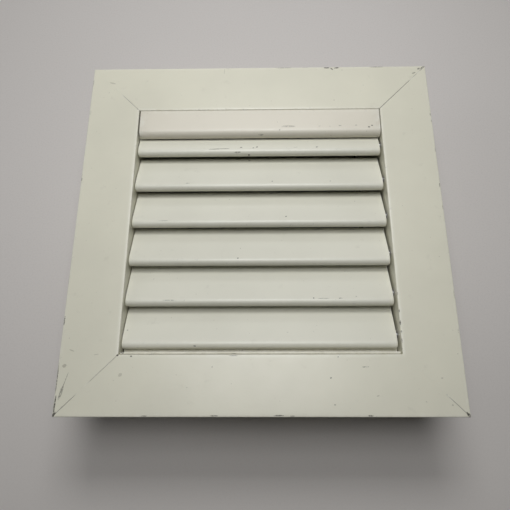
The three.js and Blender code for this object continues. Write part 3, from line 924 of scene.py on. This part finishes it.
head_outline = [(strip_edge, face_z)]
head_outline += arc(nose_y, nose_z, HEAD_NOSE_RADIUS, 90, HEAD_NOSE_END, 24)
nose_tip = len(head_outline) - 1
head_outline += arc(nose_y, nose_z, HEAD_NOSE_RADIUS - STRIP, HEAD_NOSE_END, 90, 18)
corner_at = len(head_outline)
head_outline += [
    (strip_edge - STRIP, face_z - STRIP),
    (strip_edge - STRIP, face_z - STRIP_LEG),
    (strip_edge, face_z - STRIP_LEG),
]
head_radii = {0: 0.35, nose_tip: 0.25, nose_tip + 1: 0.25, corner_at + 1: 0.25, corner_at + 2: 0.25}
strip("head_strip_painted", head_outline, head_radii, head_rivets, 1, strip_paint, "head_strip")
ledge_top = face_z - LEDGE_DEPTH
sill_outline = [
    (-strip_edge, face_z - STRIP_LEG),
    (-strip_edge + STRIP, face_z - STRIP_LEG),
    (-strip_edge + STRIP, ledge_top - STRIP),
    (-LEDGE_REACH, ledge_top - STRIP),
    (-LEDGE_REACH, ledge_top),
    (-strip_edge + STRIP, ledge_top),
    (-strip_edge + STRIP, face_z - SILL_SETBACK),
    (-strip_edge, face_z - SILL_SETBACK),
]
sill_radii = {0: 0.25, 1: 0.25, 3: 0.3, 4: 0.3, 6: 0.45, 7: 0.3}
strip("sill_strip_painted", sill_outline, sill_radii, sill_rivets, -1, sill_shaded_paint, "sill_strip")

# ---------------------------------------------------------------- rivets
def rivet(name, grip, centre, axis, node):
    """A blind rivet with a domed head on the outside and a formed tail inside.

    The centre is where the head seats, and the grip is how thick the riveted sheets are.
    """
    inside = -grip - SEAT_GAP
    profile = [
        (0, inside - 1.0),
        (1.5, inside - 1.0),
        (2.2, inside - 0.8),
        (2.5, inside - 0.35),
        (2.4, inside),
        (RIVET_RADIUS, inside),
        (RIVET_RADIUS, SEAT_GAP),
        (3.1, SEAT_GAP),
        (3.2, SEAT_GAP + 0.15),
        (3.05, SEAT_GAP + 0.45),
        (2.6, SEAT_GAP + 0.8),
        (1.9, SEAT_GAP + 1.05),
        (1.2, SEAT_GAP + 1.16),
        (0.85, SEAT_GAP + 1.18),
        (0.75, SEAT_GAP + 0.95),
        (0, SEAT_GAP + 0.9),
    ]
    obj = smooth(turned(name, profile, centre, axis), 40)
    mark_edges(obj)
    return put(obj, "frame", "aluminium", cast, node)


neck_outside = half_opening + WALL
strip_grip = neck_outside - (strip_edge - STRIP)
for word, boxes, side in (("head", head_rivets, 1), ("sill", sill_rivets, -1)):
    for hand, box in zip(("left", "right"), boxes):
        centre = (middle_of(box).x, side * neck_outside * MM, middle_of(box).z)
        rivet(f"{word}_rivet_{hand}_domed", strip_grip, centre, (0, side, 0), f"{word}_rivet_{hand}")
spring_grip = WALL + SPRING_THICKNESS + SEAT_GAP
for (hand, height), place in spring_rivets.items():
    side = -1 if hand == "left" else 1
    centre = (side * (half_opening + spring_grip) * MM, place.y, place.z)
    node = f"spring_rivet_{hand}_{height}"
    rivet(f"{node}_domed", spring_grip, centre, (side, 0, 0), node)

# ---------------------------------------------------------------- bushes and spindles
BUSH_PROFILE = [
    (0, 1.3),
    (BUSH_BORE_RADIUS, 1.3),
    (BUSH_BORE_RADIUS, -1.35),
    (1.85, -WALL),
    (2.85, -WALL),
    (3.0, -1.35),
    (3.0, SEAT_GAP),
    (4.25, SEAT_GAP),
    (4.4, 0.25),
    (4.4, 1.35),
    (4.25, 1.6),
    (3.95, 1.82),
    (3.6, 1.9),
    (1.1, 1.9),
    (0.95, 1.75),
    (0, 1.7),
]
for number, pivot in enumerate(blade_pivots, 1):
    for hand, side in (("left", -1), ("right", 1)):
        centre = (side * neck_outside * MM, pivot.y, pivot.z)
        obj = turned(f"bush_{number}_{hand}_moulded", BUSH_PROFILE, centre, (side, 0, 0))
        smooth(obj, 40)
        mark_edges(obj)
        put(obj, "frame", "white_nylon", white_nylon, f"bush_{number}_{hand}")
    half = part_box(f"spindle_{number}")[1].x / MM
    profile = [(0, -half), (1.2, -half), (1.5, -half + 0.3), (1.5, half - 0.3), (1.2, half), (0, half)]
    obj = smooth(turned(f"spindle_{number}_bar", profile, (0, pivot.y, pivot.z), (1, 0, 0), 32), 40)
    mark_edges(obj)
    put(obj, f"louvre_{number}", "steel", plated, f"spindle_{number}")

# ---------------------------------------------------------------- the other CAD pieces keep their shape
def finish_cad(node, material, width=0.15):
    """Gives a carried-over CAD node its material and softly broken edges."""
    obj = frame["nodes"][node]
    obj.data.materials.clear()
    obj.data.materials.append(material)
    bevel = obj.modifiers.new("broken_edges", "BEVEL")
    bevel.width = width * MM
    bevel.segments = 2
    bevel.limit_method = "ANGLE"
    bevel.angle_limit = math.radians(35)
    bevel.harden_normals = False


for corner in ("top_right", "top_left", "bottom_left", "bottom_right"):
    finish_cad(f"corner_cleat_{corner}", cast)
for hand in ("left", "right"):
    for height in ("upper", "lower"):
        finish_cad(f"spring_clip_{hand}_{height}", spring_metal, 0.1)
for number in range(1, BLADES + 1):
    finish_cad(f"link_clip_{number}", grey_nylon, 0.12)
finish_cad("tie_bar", grey_nylon, 0.15)

# ---------------------------------------------------------------- floor
def floor_material():
    """A matt, pale surface with faint clouds and grain, and painted shade that makes it a little darker
    towards the near side.
    """
    n = Nodes("pale_floor")
    cloud = n.noise(4, 3, 0.5, seed=2.0)
    grain = n.noise(900, 3, 0.6, seed=7.0)
    colour = n.mix(n.ramp(cloud, 0.3, 0.7, 0.0, 0.5), srgb(217, 213, 210), srgb(213, 209, 205))
    colour = n.mix(n.ramp(grain, 0.4, 0.8, 0.0, 0.12), colour, srgb(160, 156, 152))
    _, y, _ = n.split(n.place)
    # painted shade: the floor is painted darker towards the near side, standing in for the light falling off
    # there
    colour = n.mix(n.ramp(y, 0.02, -0.18, 0.0, 0.55), colour, srgb(198, 194, 190))
    n.bump([(grain, 0.0001, 0.2)])
    n.set(Base_Color=colour)
    n.shader.inputs["Roughness"].default_value = 0.85
    n.shader.inputs["Specular IOR Level"].default_value = 0.25
    return n.material


FLOOR_REACH = 3
corners = [(x * FLOOR_REACH, y * FLOOR_REACH, 0) for x, y in ((-1, -1), (1, -1), (1, 1), (-1, 1))]
floor = new_object("floor", corners, [(0, 1, 2, 3)])
floor.data.materials.append(floor_material())

# ---------------------------------------------------------------- light
# Each softbox faces the grille: name, azimuth, elevation, distance, width, height, watts.
# Azimuth 0 is beyond the top rail, and -90 is on the left.
SOFTBOXES = [
    ("overhead", 0, 89.9, 0.9, 0.4, 0.17, 1.36),
    ("far_side_top", 0, 80, 0.9, 0.4, 0.17, 0.96),
    ("far_side_high", 0, 70, 0.9, 0.4, 0.17, 0.33),
    ("far_side_middle", 0, 50, 0.9, 0.4, 0.17, 0.04),
    ("far_side", 0, 40, 0.9, 0.4, 0.17, 0.21),
    ("far_side_low", 0, 25, 0.9, 0.5, 0.17, 0.63),
    ("near_side_high", 180, 70, 0.9, 0.4, 0.17, 0.14),
    ("left_side", -90, 35, 0.9, 0.3, 0.3, 0.36),
    ("close_strip", 0, 65, 0.45, 0.2, 0.12, 0.77),
]
AIM = Vector((0, 0, FACE_Z - 0.01))


def softbox(name, azimuth, elevation, distance, width, height, watts):
    """A rectangular area light at a distance from the grille, facing it."""
    turn, lift = math.radians(azimuth), math.radians(elevation)
    flat = math.cos(lift)
    direction = Vector((math.sin(turn) * flat, math.cos(turn) * flat, math.sin(lift)))
    data = bpy.data.lights.new(name, "AREA")
    data.shape = "RECTANGLE"
    data.size = width
    data.size_y = height
    data.energy = watts
    obj = bpy.data.objects.new(name, data)
    bpy.context.scene.collection.objects.link(obj)
    obj.location = AIM + direction * distance
    obj.rotation_mode = "QUATERNION"
    obj.rotation_quaternion = (AIM - obj.location).to_track_quat("-Z", "Y")


for settings in SOFTBOXES:
    softbox(*settings)

# the softboxes give all the light
world = bpy.data.worlds.new("studio")
bpy.context.scene.world = world
world.use_nodes = True
world.node_tree.nodes["Background"].inputs["Strength"].default_value = 0.0

# ---------------------------------------------------------------- camera
# Fitted to the photo: 0.25 m from the face, 68 degrees up, on the side of the bottom rail.
CAMERA_X = 0.00118
CAMERA_Y = -0.0922
CAMERA_HEIGHT = 0.23352  # above the face
LOOK = Vector((-0.01462, 0.29923, -0.95407)).normalized()
FOCAL_LENGTH = 32.66
SENSOR_WIDTH = 36
camera_data = bpy.data.cameras.new("camera")
camera_data.sensor_width = SENSOR_WIDTH
camera_data.lens = FOCAL_LENGTH
camera_data.clip_start = 0.01
camera_data.clip_end = 50
camera = bpy.data.objects.new("camera", camera_data)
bpy.context.scene.collection.objects.link(camera)
camera.location = (CAMERA_X, CAMERA_Y, FACE_Z + CAMERA_HEIGHT)
right = LOOK.cross(Vector((0, 1, 0))).normalized()
above = right.cross(LOOK)
camera.rotation_mode = "QUATERNION"
camera.rotation_quaternion = Matrix((right, above, -LOOK)).transposed().to_quaternion()
bpy.context.scene.camera = camera

bpy.context.scene.view_settings.view_transform = "Standard"
bpy.context.scene.view_settings.look = "None"
